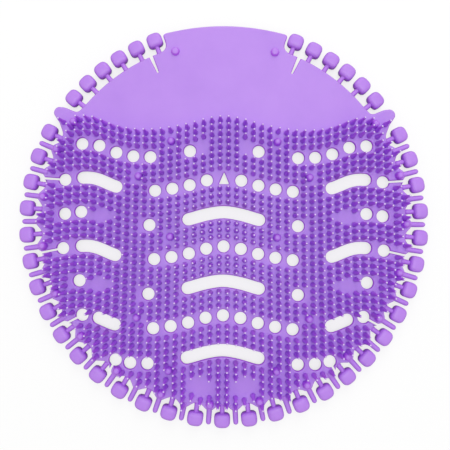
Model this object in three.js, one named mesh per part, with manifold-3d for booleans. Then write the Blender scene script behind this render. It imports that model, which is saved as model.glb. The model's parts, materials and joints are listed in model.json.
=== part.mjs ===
// A urinal deodorizer screen: one soft scented moulding that lies in the bowl over the drain.
// A thin perforated plate carries wavy rows of bristles, a smooth crescent at the back,
// square paddles on short stems round the rim, and a round pin between each pair of paddles.
// Millimetres, +Z up, +Y towards the crescent, z = 0 where the paddles and feet rest.

import * as THREE from "three";
import { mergeVertices } from "three/addons/utils/BufferGeometryUtils.js";
import Module from "manifold-3d";

// Heights
const PADDLE_THICKNESS = 5.0;
const FOOT_HEIGHT = 1.7;
const PLATE_THICKNESS = 1.8;
const BRISTLE_HEIGHT = 8.0;
const NUB_HEIGHT = 3.0;
const STUD_HEIGHT = 1.4;

// Plate edge: angles are from the top of the crescent, lengths outwards from the plate's edge
const PLATE_RADIUS = 84.2;
const CRESCENT_RISE = 7.3;
const CRESCENT_END_RISE = 8.0;
const CRESCENT_STEPS = 5;
const CRESCENT_HALF_ANGLE = 18.7;
const CRESCENT_CORNER = 0.9;
const CRESCENT_FILLET = 2.0;
const FILLET_MIDDLE = CRESCENT_FILLET * (1 - Math.SQRT1_2);
const EAR_RISE = 10.2;
const EAR_ANGLE = 57.1;
const EAR_WIDTH = 9.2;
const EAR_FLARE = 2.4;
const SCALLOP_RISE = 3.0;
const SCALLOP_FLAT = 3.8;

// Paddles, stems and pins round the rim
const PADDLE_WIDTH = 7.3;
const PADDLE_LENGTH = 6.5;
const PADDLE_CHAMFER = 1.7;
const STEM_LENGTH = 3.7;
const STEM_WIDTH = 2.1;
const STEM_THICKNESS = 1.8;
const UPPER_PADDLES = 6;
const LOWER_PADDLES = 31;
const CRESCENT_TO_PADDLE = 2.8;
const UPPER_PADDLE_TO_EAR = 5.9;
const EAR_TO_LOWER_PADDLE = 6.5;
const PIN_LENGTH = 9.1;
const PIN_WIDTH = 2.5;
const PIN_THICKNESS = 2.0;
const PIN_TIP_LENGTH = 1.0;

// Rows of holes, counted from the row of the upper centre slot, each following the same wave:
// how far the row lies below its crest, by the distance from the centre line
const BRISTLE_ROW_PITCH = 3.9625;
const BRISTLE_ROWS_PER_HOLE_ROW = 4;
const HOLE_ROW_BASE = 3.85;
const HOLE_ROW_STEP = BRISTLE_ROWS_PER_HOLE_ROW * BRISTLE_ROW_PITCH;
const WAVE = [
  { x: 0, drop: 0 },
  { x: 8, drop: 1.15 },
  { x: 16, drop: 3.4 },
  { x: 24, drop: 5.1 },
  { x: 33, drop: 6.2 },
  { x: 42, drop: 6.0 },
  { x: 50, drop: 4.4 },
  { x: 58, drop: 1.2 },
  { x: 62, drop: 0.3 },
  { x: 66, drop: 0.35 },
  { x: 74, drop: 1.4 },
  { x: 88, drop: 4.2 },
];
const HOLE_DIAMETER = 5.8;
const HOLE_SIDES = 8;
const HOLE_PITCH = 8.0;
const SIDE_RUN_START = 34;
const SIDE_HOLE_PITCH = 7.85;
const SLOT_WIDTH = 5.8;
const SLOT_END_SIDES = 3;
const SLIT_WIDTH = 1.0;
const ARROW_WIDTH = 4.6;
const ARROW_HEIGHT = 5.4;

// Bristles and nubs
const BRISTLE_FOOT = 2.6;
const BRISTLE_COLUMN_PITCH = 5.05;
const BRISTLE_EDGE_GAP = 0.1;
const BRISTLE_ROWS_ABOVE_HOLES = 3;
const NUB_DIAMETER = 3.4;
const STUD_DIAMETER = 4.0;
const FOOT_DIAMETER = 3.0;
const NUB_SIDES = 4;
const NUB_TAPER = 0.7;

// Overlap of each added form with the plate, so that the joined body has no touching faces
const ROOT = 0.5;

const PLATE_BOTTOM = FOOT_HEIGHT;
const PLATE_TOP = FOOT_HEIGHT + PLATE_THICKNESS;
const PLATE_MIDDLE = FOOT_HEIGHT + PLATE_THICKNESS / 2;
const CRESCENT_RADIUS = PLATE_RADIUS + CRESCENT_RISE;
const EAR_RADIUS = PLATE_RADIUS + EAR_RISE;
const PADDLE_RING_RADIUS = PLATE_RADIUS + STEM_LENGTH + PADDLE_LENGTH / 2;
const PADDLE_REACH = PADDLE_RING_RADIUS + PADDLE_LENGTH / 2;
const UPPER_PADDLE_START = CRESCENT_HALF_ANGLE + CRESCENT_TO_PADDLE;
const UPPER_PADDLE_END = EAR_ANGLE - UPPER_PADDLE_TO_EAR;
const UPPER_PADDLE_STEP = (UPPER_PADDLE_END - UPPER_PADDLE_START) / (UPPER_PADDLES - 1);
const LOWER_PADDLE_START = EAR_ANGLE + EAR_TO_LOWER_PADDLE;
const LOWER_PADDLE_STEP = (2 * (180 - LOWER_PADDLE_START)) / (LOWER_PADDLES - 1);
const BRISTLE_FOOT_RADIUS = BRISTLE_FOOT / Math.sqrt(3);

const wasm = await Module();
wasm.setup();

function solidOf(geometry) {
  geometry.deleteAttribute("normal");
  geometry.deleteAttribute("uv");
  const merged = mergeVertices(geometry, 1e-4);
  return new wasm.Manifold(
    new wasm.Mesh({
      numProp: 3,
      vertProperties: merged.attributes.position.array,
      triVerts: new Uint32Array(merged.index.array),
    }),
  );
}

const joined = (geometries) => geometries.map(solidOf).reduce((whole, next) => whole.add(next));

// A point of the rim, by its radius, its angle from the top and how far it lies beside that angle.
function rimPoint(radius, degrees, beside = 0) {
  const angle = THREE.MathUtils.degToRad(degrees);
  return new THREE.Vector2(
    radius * Math.sin(angle) + beside * Math.cos(angle),
    radius * Math.cos(angle) - beside * Math.sin(angle),
  );
}

function prism(points, bottom, top) {
  const geometry = new THREE.ExtrudeGeometry(new THREE.Shape(points), {
    depth: top - bottom,
    bevelEnabled: false,
  });
  return geometry.translate(0, 0, bottom);
}

// A prism on the rim, drawn upright about the ring and turned to its angle from the top.
function rimPrism(points, bottom, top, degrees) {
  return prism(points, bottom, top).rotateZ(THREE.MathUtils.degToRad(-degrees));
}

// A boss that tapers away from the plate, standing up on it or hanging below it.
function boss(diameter, length, x, y, hanging = false) {
  const cone = new THREE.CylinderGeometry(
    (diameter / 2) * NUB_TAPER,
    diameter / 2,
    length + ROOT,
    NUB_SIDES,
  );
  cone.rotateX(hanging ? -Math.PI / 2 : Math.PI / 2);
  const middle = (length - ROOT) / 2;
  return cone.translate(x, y, hanging ? PLATE_BOTTOM - middle : PLATE_TOP + middle);
}

// Slope of the wave at each of its points, level at both ends.
const WAVE_SLOPES = WAVE.map((_, index) => {
  const before = WAVE[index - 1];
  const after = WAVE[index + 1];
  return before && after ? (after.drop - before.drop) / (after.x - before.x) : 0;
});

// How far a row has dropped below its crest, at a distance from the centre line.
function waveDrop(x) {
  const reach = Math.abs(x);
  const next = WAVE.findIndex((point) => point.x > reach);
  if (next < 0) return WAVE[WAVE.length - 1].drop;
  const from = WAVE[next - 1];
  const to = WAVE[next];
  const span = to.x - from.x;
  const share = (reach - from.x) / span;
  const rest = 1 - share;
  return (
    from.drop * rest ** 2 * (1 + 2 * share) +
    to.drop * share ** 2 * (1 + 2 * rest) +
    span * share * rest * (WAVE_SLOPES[next - 1] * rest - WAVE_SLOPES[next] * share)
  );
}

function onHoleRow(row, x) {
  return new THREE.Vector2(x, HOLE_ROW_BASE + row * HOLE_ROW_STEP - waveDrop(x));
}

// Places of the round holes, right half, by row: first distance from the centre line, pitch, count
const TOP_HOLE_ROW = 2;
const HOLE_RUNS = [
  { row: TOP_HOLE_ROW, from: 2 * HOLE_PITCH, pitch: HOLE_PITCH, count: 1 },
  { row: TOP_HOLE_ROW, from: SIDE_RUN_START, pitch: SIDE_HOLE_PITCH, count: 5 },
  { row: 1, from: HOLE_PITCH, pitch: HOLE_PITCH, count: 4 },
  { row: 0, from: SIDE_RUN_START, pitch: HOLE_PITCH, count: 1 },
  { row: -1, from: 0, pitch: HOLE_PITCH, count: 5 },
  { row: -2, from: SIDE_RUN_START, pitch: HOLE_PITCH, count: 1 },
  { row: -3, from: 0, pitch: HOLE_PITCH, count: 5 },
  { row: -4, from: SIDE_RUN_START, pitch: SIDE_HOLE_PITCH, count: 2 },
];

// Holes near the rim, by their distance from the plate's edge
const RIM_HOLES = [
  { row: 0, inset: 18.5 },
  { row: 0, inset: 11.0 },
  { row: -2, inset: 12.6 },
];
const RIM_SEARCH_TURNS = 12;

// Holes that a slit opens to the rim; the slit ends between a stem and a pin, counted in paddles
// from the lowest one
const SLIT_HOLES = [
  { row: 1, inset: 8.2, paddle: 13.25 },
  { row: -1, inset: 8.9, paddle: 10.25 },
  { row: -3, inset: 6.1, paddle: 7.25 },
  { row: -4, inset: 3.0, paddle: 4.75 },
];

// Curved slots: the row and the ends' distances from the centre line
const CENTRE_SLOTS = [0, -2, -4].map((row) => ({ row, from: -16.4, to: 16.4, steps: 4 }));
const SIDE_SLOTS = [
  { row: 1, from: 50.0, to: 65.5, steps: 3 },
  { row: -1, from: 50.0, to: 65.5, steps: 3 },
  { row: -3, from: 49.7, to: 57.0, steps: 2 },
];

// Smooth spots without bristles: centre and half sizes, mirrored to both sides
const BARE_SPOTS = [
  { row: 2, x: 9.6, y: 0, wide: 3, high: 3 },
  { row: 0, x: 55.5, y: 0.5, wide: 6.2, high: 3.6 },
  { row: -2, x: 56, y: 0.5, wide: 6.2, high: 3.6 },
  { row: -5, x: 10.3, y: -1.4, wide: 6.5, high: 3.5 },
];

// Tall nubs in the field, mirrored to both sides
const FIELD_NUBS = [
  { x: 24.6, y: 36.5 },
  { x: 39.5, y: 20.0 },
  { x: 24.6, y: -7.8 },
  { x: 39.4, y: -44.8 },
  { x: 24.5, y: -68.5 },
];
const CRESCENT_STUD = { x: 23.3, y: 79.0 };
const CRESCENT_SLIT = { degrees: 24.4, depth: 8.4 };

const bothSides = (points) => points.flatMap(({ x, y }) => [
  { x, y },
  { x: -x, y },
]);

// Where a row comes to a given distance from the plate's edge, on the right.
function nearRim(row, inset) {
  const radius = PLATE_RADIUS - inset;
  let place = onHoleRow(row, radius);
  for (let turn = 0; turn < RIM_SEARCH_TURNS; turn += 1) {
    place = onHoleRow(row, Math.sqrt(radius ** 2 - place.y ** 2));
  }
  return place;
}

const slitHoles = bothSides(SLIT_HOLES.map(({ row, inset }) => nearRim(row, inset)));
const rimHoles = bothSides(RIM_HOLES.map(({ row, inset }) => nearRim(row, inset)));

const fieldHoles = HOLE_RUNS.flatMap(({ row, from, pitch, count }) =>
  Array.from({ length: count }, (_, step) => onHoleRow(row, from + step * pitch)),
).flatMap((centre) => (centre.x === 0 ? [centre] : bothSides([centre])));

const roundHoles = [...fieldHoles, ...rimHoles, ...slitHoles];

const slots = [
  ...CENTRE_SLOTS,
  ...SIDE_SLOTS,
  ...SIDE_SLOTS.map(({ row, from, to, steps }) => ({ row, from: -to, to: -from, steps })),
];

const lowerAngles = Array.from(
  { length: LOWER_PADDLES },
  (_, index) => 180 + (index - (LOWER_PADDLES - 1) / 2) * LOWER_PADDLE_STEP,
);
const pinAngles = lowerAngles.slice(1).map((angle) => angle - LOWER_PADDLE_STEP / 2);
const upperAngles = Array.from(
  { length: UPPER_PADDLES },
  (_, index) => UPPER_PADDLE_START + index * UPPER_PADDLE_STEP,
);
const paddleAngles = [...lowerAngles, ...upperAngles, ...upperAngles.map((angle) => -angle)];

// Half of the plate's edge, from the top of the crescent to the bottom.
function halfEdge() {
  const points = [rimPoint(CRESCENT_RADIUS, 0)];
  for (let step = 1; step <= CRESCENT_STEPS; step += 1) {
    const share = step / CRESCENT_STEPS;
    const rise = CRESCENT_RISE + (CRESCENT_END_RISE - CRESCENT_RISE) * share ** 2;
    points.push(rimPoint(PLATE_RADIUS + rise, CRESCENT_HALF_ANGLE * share, -CRESCENT_CORNER * share));
  }
  points.push(rimPoint(PLATE_RADIUS + CRESCENT_END_RISE - CRESCENT_CORNER, CRESCENT_HALF_ANGLE));
  points.push(rimPoint(PLATE_RADIUS + CRESCENT_FILLET, CRESCENT_HALF_ANGLE));
  points.push(rimPoint(PLATE_RADIUS + FILLET_MIDDLE, CRESCENT_HALF_ANGLE, FILLET_MIDDLE));
  points.push(rimPoint(PLATE_RADIUS, CRESCENT_HALF_ANGLE, CRESCENT_FILLET));
  for (const angle of upperAngles.slice(1)) {
    points.push(rimPoint(PLATE_RADIUS, angle - UPPER_PADDLE_STEP / 2));
  }
  points.push(...earEdge());
  const fromEar = lowerAngles.filter((angle) => angle <= 180);
  for (const angle of fromEar) {
    points.push(rimPoint(PLATE_RADIUS, angle, -SCALLOP_FLAT / 2));
    if (angle < 180) {
      points.push(rimPoint(PLATE_RADIUS, angle, SCALLOP_FLAT / 2));
      points.push(rimPoint(PLATE_RADIUS + SCALLOP_RISE, angle + LOWER_PADDLE_STEP / 2));
    }
  }
  return points;
}

// The rounded lobe on each shoulder, with flared feet.
function earEdge() {
  const half = EAR_WIDTH / 2;
  const flank = [
    { beside: half + EAR_FLARE, radius: PLATE_RADIUS },
    { beside: half + EAR_FLARE * 0.3, radius: PLATE_RADIUS + EAR_FLARE * 0.6 },
    { beside: half, radius: EAR_RADIUS - half },
    { beside: half * 0.75, radius: EAR_RADIUS - half * 0.35 },
    { beside: half * 0.35, radius: EAR_RADIUS },
  ];
  const left = flank.map(({ beside, radius }) => rimPoint(radius, EAR_ANGLE, -beside));
  const right = flank.map(({ beside, radius }) => rimPoint(radius, EAR_ANGLE, beside)).reverse();
  return [...left, ...right];
}

// A slot follows its row, with round ends.
function slotOutline({ row, from, to, steps }) {
  const stations = Array.from({ length: steps + 1 }, (_, step) => from + ((to - from) * step) / steps);
  const arm = (x) => {
    const along = onHoleRow(row, x + ROOT).sub(onHoleRow(row, x - ROOT)).setLength(SLOT_WIDTH / 2);
    return new THREE.Vector2(-along.y, along.x);
  };
  const side = (direction) =>
    stations.map((x) => onHoleRow(row, x).addScaledVector(arm(x), direction));
  const roundEnd = (x, direction) =>
    Array.from({ length: SLOT_END_SIDES - 1 }, (_, corner) => {
      const turn = (Math.PI * (corner + 1)) / SLOT_END_SIDES;
      const centre = onHoleRow(row, x);
      return centre.clone().addScaledVector(arm(x), direction).rotateAround(centre, turn);
    });
  return [...side(-1), ...roundEnd(to, -1), ...side(1).reverse(), ...roundEnd(from, 1)];
}

// A round hole's outline, with the area of the true circle.
function roundHole({ x, y }) {
  const turn = (2 * Math.PI) / HOLE_SIDES;
  const radius = (HOLE_DIAMETER / 2) * Math.sqrt(turn / Math.sin(turn));
  return Array.from({ length: HOLE_SIDES }, (_, side) => {
    const angle = turn * (side + 0.5);
    return new THREE.Vector2(x + radius * Math.cos(angle), y + radius * Math.sin(angle));
  });
}

function arrowHole() {
  const { x, y } = onHoleRow(1, 0);
  return [
    new THREE.Vector2(x - ARROW_WIDTH / 2, y - ARROW_HEIGHT / 2),
    new THREE.Vector2(x + ARROW_WIDTH / 2, y - ARROW_HEIGHT / 2),
    new THREE.Vector2(x, y + ARROW_HEIGHT / 2),
  ];
}

function plate() {
  const right = halfEdge();
  const left = right
    .slice(1)
    .reverse()
    .map((point) => new THREE.Vector2(-point.x, point.y));
  return solidOf(prism([...right, ...left], PLATE_BOTTOM, PLATE_TOP));
}

function openings() {
  const outlines = [...roundHoles.map(roundHole), ...slots.map(slotOutline), arrowHole()];
  return joined(outlines.map((points) => prism(points, PLATE_BOTTOM - ROOT, PLATE_TOP + ROOT)));
}

// A straight cut through the plate from one point to another.
function slit(start, end) {
  const along = end.clone().sub(start).normalize();
  const across = new THREE.Vector2(-along.y, along.x).multiplyScalar(SLIT_WIDTH / 2);
  const points = [
    start.clone().sub(across),
    end.clone().sub(across),
    end.clone().add(across),
    start.clone().add(across),
  ];
  return prism(points, PLATE_BOTTOM - ROOT, PLATE_TOP + ROOT);
}

function slitEnds() {
  const beyond = PLATE_RADIUS + SCALLOP_RISE + ROOT;
  const rim = SLIT_HOLES.flatMap(({ row, inset, paddle }) => {
    const degrees = 180 - paddle * LOWER_PADDLE_STEP;
    const hole = nearRim(row, inset);
    return [1, -1].map((side) => ({
      start: new THREE.Vector2(side * hole.x, hole.y),
      end: rimPoint(beyond, side * degrees),
    }));
  });
  const crescent = [1, -1].map((side) => ({
    start: rimPoint(PLATE_RADIUS - CRESCENT_SLIT.depth, side * CRESCENT_SLIT.degrees),
    end: rimPoint(PLATE_RADIUS + ROOT, side * CRESCENT_SLIT.degrees),
  }));
  return [...rim, ...crescent];
}

function paddles() {
  const wide = PADDLE_WIDTH / 2;
  const long = PADDLE_LENGTH / 2;
  const cut = PADDLE_CHAMFER;
  const corners = [
    [wide - cut, -long],
    [wide, cut - long],
    [wide, long - cut],
    [wide - cut, long],
    [cut - wide, long],
    [-wide, long - cut],
    [-wide, cut - long],
    [cut - wide, -long],
  ].map(([beside, out]) => new THREE.Vector2(beside, PADDLE_RING_RADIUS + out));
  return joined(paddleAngles.map((angle) => rimPrism(corners, 0, PADDLE_THICKNESS, angle)));
}

function stems() {
  const half = STEM_WIDTH / 2;
  const inner = PLATE_RADIUS - ROOT;
  const outer = PLATE_RADIUS + STEM_LENGTH + ROOT;
  const corners = [
    new THREE.Vector2(-half, inner),
    new THREE.Vector2(half, inner),
    new THREE.Vector2(half, outer),
    new THREE.Vector2(-half, outer),
  ];
  const bottom = PLATE_MIDDLE - STEM_THICKNESS / 2;
  const top = PLATE_MIDDLE + STEM_THICKNESS / 2;
  return joined(paddleAngles.map((angle) => rimPrism(corners, bottom, top, angle)));
}

function pins() {
  const half = PIN_WIDTH / 2;
  const inner = PLATE_RADIUS;
  const reach = PLATE_RADIUS + PIN_LENGTH;
  const corners = [
    new THREE.Vector2(-half, inner),
    new THREE.Vector2(half, inner),
    new THREE.Vector2(half, reach - PIN_TIP_LENGTH),
    new THREE.Vector2(0, reach),
    new THREE.Vector2(-half, reach - PIN_TIP_LENGTH),
  ];
  const bottom = PLATE_MIDDLE - PIN_THICKNESS / 2;
  const top = PLATE_MIDDLE + PIN_THICKNESS / 2;
  return joined(pinAngles.map((angle) => rimPrism(corners, bottom, top, angle)));
}

// A nub stands at the foot of every second pin, and one on each shoulder.
const rimNubs = [
  ...pinAngles.filter((_, index) => index % 2 === 1).map((angle) => rimPoint(PLATE_RADIUS - ROOT, angle)),
  rimPoint(PLATE_RADIUS - 1, EAR_ANGLE),
  rimPoint(PLATE_RADIUS - 1, -EAR_ANGLE),
];
const fieldNubs = bothSides(FIELD_NUBS);

function nubs() {
  const tall = [...fieldNubs, ...rimNubs].map(({ x, y }) => boss(NUB_DIAMETER, NUB_HEIGHT, x, y));
  const low = bothSides([CRESCENT_STUD]).map(({ x, y }) => boss(STUD_DIAMETER, STUD_HEIGHT, x, y));
  return joined([...tall, ...low]);
}

// The feet stand below the field nubs and keep the middle of the mat off the bowl.
function feet() {
  return joined(fieldNubs.map(({ x, y }) => boss(FOOT_DIAMETER, FOOT_HEIGHT, x, y, true)));
}

function distanceToSegment(point, start, end) {
  const span = end.clone().sub(start);
  const share = THREE.MathUtils.clamp(
    point.clone().sub(start).dot(span) / span.lengthSq(),
    0,
    1,
  );
  return point.distanceTo(start.clone().addScaledVector(span, share));
}

// True where a bristle has room between the holes, slots, slits and nubs.
function hasRoom(point) {
  const margin = BRISTLE_FOOT_RADIUS + BRISTLE_EDGE_GAP;
  const near = (centre, reach) => point.distanceTo(centre) < reach + margin;
  if (point.length() > PLATE_RADIUS - margin) return false;
  if (roundHoles.some((hole) => near(hole, HOLE_DIAMETER / 2))) return false;
  if ([...fieldNubs, ...rimNubs].some((nub) => near(nub, NUB_DIAMETER / 4))) return false;
  if (near(onHoleRow(1, 0), ARROW_HEIGHT / 2)) return false;
  for (const { row, from, to, steps } of slots) {
    for (let step = 0; step < steps; step += 1) {
      const start = onHoleRow(row, from + ((to - from) * step) / steps);
      const end = onHoleRow(row, from + ((to - from) * (step + 1)) / steps);
      if (distanceToSegment(point, start, end) < SLOT_WIDTH / 2 + margin) return false;
    }
  }
  for (const { start, end } of slitEnds()) {
    if (distanceToSegment(point, start, end) < SLIT_WIDTH / 2 + margin) return false;
  }
  return !BARE_SPOTS.some(({ row, x, y, wide, high }) => {
    const centre = onHoleRow(row, Math.sign(point.x) * x);
    return Math.hypot((point.x - centre.x) / wide, (point.y - centre.y - y) / high) < 1;
  });
}

// Bristle places: rows between the rows of holes, on the same wave, below the crescent.
function bristlePlaces() {
  const places = [];
  const columns = Math.ceil(PLATE_RADIUS / BRISTLE_COLUMN_PITCH);
  const lowest = Math.floor((-PLATE_RADIUS - HOLE_ROW_BASE) / BRISTLE_ROW_PITCH);
  const end = TOP_HOLE_ROW * BRISTLE_ROWS_PER_HOLE_ROW + BRISTLE_ROWS_ABOVE_HOLES;
  for (let row = lowest; row < end; row += 1) {
    const crest = HOLE_ROW_BASE + (row + 0.5) * BRISTLE_ROW_PITCH;
    for (let column = -columns; column < columns; column += 1) {
      const x = (column + 0.5) * BRISTLE_COLUMN_PITCH;
      const place = new THREE.Vector2(x, crest - waveDrop(x));
      if (hasRoom(place)) places.push(place);
    }
  }
  return places;
}

// Each bristle is a three-sided spike rooted in the plate.
function bristles() {
  const full = BRISTLE_HEIGHT + ROOT;
  const rootRadius = (BRISTLE_FOOT_RADIUS * full) / BRISTLE_HEIGHT;
  const spikes = bristlePlaces().map(({ x, y }) => {
    const spike = new THREE.ConeGeometry(rootRadius, full, 3);
    spike.rotateX(Math.PI / 2);
    return spike.translate(x, y, PLATE_TOP + (BRISTLE_HEIGHT - ROOT) / 2);
  });
  return joined(spikes);
}

function screenSolid() {
  const slits = joined(slitEnds().map(({ start, end }) => slit(start, end)));
  return plate()
    .subtract(openings())
    .subtract(slits)
    .add(stems())
    .add(paddles())
    .add(pins())
    .add(nubs())
    .add(feet())
    .add(bristles());
}

function geometryOf(solid) {
  const mesh = solid.getMesh();
  const geometry = new THREE.BufferGeometry();
  geometry.setAttribute("position", new THREE.BufferAttribute(mesh.vertProperties, mesh.numProp));
  geometry.setIndex(new THREE.BufferAttribute(mesh.triVerts, 1));
  geometry.computeVertexNormals();
  return geometry;
}

const softVinyl = new THREE.MeshStandardMaterial({
  color: 0xb387e6,
  roughness: 0.45,
  metalness: 0,
});

const screen = new THREE.Mesh(geometryOf(screenSolid()), softVinyl);
screen.name = "screen";
// The frame's origin is under the middle of the outline, between the crescent and the lowest paddle
screen.position.y = (PADDLE_REACH - CRESCENT_RADIUS) / 2;

const part = new THREE.Group();
part.add(screen);

export default part;
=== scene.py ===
"""A urinal deodorizer screen, one soft lavender moulding, seen from above on a pale floor.

The plate, its bristles, nubs, paddles, stems, pins and feet are modelled here at full detail and
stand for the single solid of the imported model.
"""

import json
import logging
import math
from dataclasses import dataclass
from enum import Enum
from typing import ClassVar

import bmesh
import bpy
from mathutils import Matrix, Vector
from mathutils.geometry import tessellate_polygon

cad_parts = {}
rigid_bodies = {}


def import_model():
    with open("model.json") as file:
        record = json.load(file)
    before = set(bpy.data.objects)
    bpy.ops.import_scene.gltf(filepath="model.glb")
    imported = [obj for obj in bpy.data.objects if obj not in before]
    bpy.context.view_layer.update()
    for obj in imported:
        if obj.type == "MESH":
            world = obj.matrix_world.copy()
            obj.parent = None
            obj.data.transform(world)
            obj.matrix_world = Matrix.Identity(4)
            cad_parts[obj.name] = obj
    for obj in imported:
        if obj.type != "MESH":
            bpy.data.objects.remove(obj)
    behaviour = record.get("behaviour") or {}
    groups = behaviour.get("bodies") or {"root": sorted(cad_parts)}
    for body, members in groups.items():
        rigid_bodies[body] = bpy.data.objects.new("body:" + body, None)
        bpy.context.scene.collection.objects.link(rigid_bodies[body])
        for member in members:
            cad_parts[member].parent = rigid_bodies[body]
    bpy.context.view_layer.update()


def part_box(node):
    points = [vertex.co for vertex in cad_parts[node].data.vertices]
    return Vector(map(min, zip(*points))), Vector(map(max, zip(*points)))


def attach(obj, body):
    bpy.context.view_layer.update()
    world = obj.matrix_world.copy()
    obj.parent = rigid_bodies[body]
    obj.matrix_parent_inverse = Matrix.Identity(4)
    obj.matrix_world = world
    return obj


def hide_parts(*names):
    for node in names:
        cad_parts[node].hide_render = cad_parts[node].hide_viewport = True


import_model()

NODE = "screen"
BODY = "root"
MM = 0.001

# Painted shade and highlight kept on the vertices: 1 where the painted shade is deepest, 0 on open faces
# and -1 on the painted highlight of the tips
SHADING_ATTRIBUTE = "tone"

SCALLOP_SHARPNESS = 1.3

# Height and painted shade pairs, upwards; values below 0 are painted highlight
PaintedShades = tuple[tuple[float, float], ...]

logging.basicConfig(level=logging.INFO, format="%(name)s: %(message)s")
log = logging.getLogger("screen")


class Side(Enum):
    """The two faces of the plate."""

    TOP = 1
    BOTTOM = -1


@dataclass(frozen=True)
class Heights:
    """Levels of the moulding above the floor, in millimetres."""

    foot: float = 1.7
    plate: float = 1.8
    paddle: float = 5.0
    bristle: float = 8.0
    nub: float = 3.0
    stud: float = 1.4
    root: float = 0.35

    @property
    def top(self) -> float:
        """The plate's upper face."""
        return self.foot + self.plate

    @property
    def middle(self) -> float:
        """Half way through the plate."""
        return self.foot + self.plate / 2


@dataclass(frozen=True)
class Rim:
    """The plate's edge and what stands round it, in millimetres and degrees from the top."""

    radius: float = 84.2
    crescent_rise: float = 7.3
    crescent_end_rise: float = 8.0
    crescent_half: float = 18.7
    ear_rise: float = 10.2
    ear_angle: float = 57.1
    ear_tip_radius: float = 2.7
    ear_upper_side: tuple[tuple[float, float], ...] = (
        (-7.0, 0.0),
        (-5.5, 0.35),
        (-4.4, 1.6),
        (-3.95, 3.5),
        (-3.6, 5.4),
        (-3.2, 7.0),
    )
    ear_lower_side: tuple[tuple[float, float], ...] = (
        (3.3, 6.6),
        (4.0, 5.0),
        (5.1, 3.5),
        (6.5, 1.6),
        (7.6, 0.6),
        (8.8, 0.05),
    )
    scallop_rise: float = 3.0
    paddle_width: float = 7.3
    paddle_length: float = 6.5
    stem_length: float = 3.7
    upper_setback: float = 0.6
    stem_width: float = 2.1
    pin_width: float = 2.5
    pin_length: float = 9.1
    upper_count: int = 6
    lower_count: int = 31
    crescent_to_paddle: float = 2.8
    upper_paddle_to_ear: float = 5.9
    ear_to_lower_paddle: float = 6.5
    slit_width: float = 1.0
    crescent_slit_angle: float = 24.4
    crescent_slit_depth: float = 8.4

    @property
    def crescent_radius(self) -> float:
        """Radius of the crescent's outer arc."""
        return self.radius + self.crescent_rise

    @property
    def paddle_ring(self) -> float:
        """Radius on which the paddles' centres lie."""
        return self.radius + self.stem_length + self.paddle_length / 2

    @property
    def upper_step(self) -> float:
        """Angle between the paddles beside the crescent.

        Returns:
            The angle in degrees.
        """
        end = self.ear_angle - self.upper_paddle_to_ear
        span = end - self.crescent_half - self.crescent_to_paddle
        return span / (self.upper_count - 1)

    @property
    def lower_step(self) -> float:
        """Angle between the paddles below the ears."""
        return 2 * (180 - self.ear_angle - self.ear_to_lower_paddle) / (self.lower_count - 1)

    def upper_angles(self) -> list[float]:
        """Angles of the paddles between the crescent and the right ear."""
        start = self.crescent_half + self.crescent_to_paddle
        return [start + index * self.upper_step for index in range(self.upper_count)]

    def lower_angles(self) -> list[float]:
        """Angles of the paddles from the right ear round the bottom to the left ear."""
        half = (self.lower_count - 1) / 2
        return [180 + (index - half) * self.lower_step for index in range(self.lower_count)]

    def pin_angles(self) -> list[float]:
        """Angles of the pins, half way between the lower paddles."""
        return [angle + self.lower_step / 2 for angle in self.lower_angles()[:-1]]

    def paddle_stations(self) -> list[tuple[float, float]]:
        """Where the paddles stand.

        Returns:
            Angle of every paddle, with how far it sits back from the ring of the lower ones.
        """
        upper = [(angle, self.upper_setback) for angle in self.upper_angles()]
        lower = [(angle, 0.0) for angle in self.lower_angles()]
        return lower + upper + [(-angle, back) for angle, back in upper]


def rim_point(radius: float, degrees: float, beside: float = 0.0) -> Vector:
    """A point near the rim.

    Args:
        radius: Distance from the ring's middle.
        degrees: Angle from the top of the crescent, growing towards +X.
        beside: How far the point lies past that angle, along the tangent.

    Returns:
        The point in the plane of the plate.
    """
    angle = math.radians(degrees)
    outward = Vector((math.sin(angle), math.cos(angle)))
    tangent = Vector((math.cos(angle), -math.sin(angle)))
    return outward * radius + tangent * beside


def smooth_through(points: list[Vector], steps: int) -> list[Vector]:
    """A curve through the given points.

    Args:
        points: Points that the curve passes through, both ends included.
        steps: Stretches between two neighbouring points.

    Returns:
        Points along a Catmull-Rom curve.
    """
    padded = [points[0] * 2 - points[1], *points, points[-1] * 2 - points[-2]]
    curve = []
    for before, start, end, after in zip(padded, padded[1:], padded[2:], padded[3:]):
        for step in range(steps):
            t = step / steps
            curve.append(
                0.5
                * (
                    2 * start
                    + (end - before) * t
                    + (2 * before - 5 * start + 4 * end - after) * t**2
                    + (3 * start - before - 3 * end + after) * t**3
                )
            )
    curve.append(points[-1].copy())
    return curve


@dataclass(frozen=True)
class Knot:
    """One point of the wave that every row follows, with the wave's drop there."""

    x: float
    drop: float


@dataclass(frozen=True)
class Slot:
    """A curved slot along a row, from one end radius' centre to the other."""

    row: int
    start: float
    end: float


@dataclass(frozen=True)
class SlitHole:
    """A hole that a slit opens to the rim.

    Its inset is its distance from the edge, and its paddle is where the slit meets the rim,
    counted in paddles from the bottom.
    """

    row: int
    inset: float
    paddle: float


@dataclass(frozen=True)
class BareSpot:
    """A smooth oval among the bristles, on the right half."""

    row: int
    x: float
    y: float
    wide: float
    high: float


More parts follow.
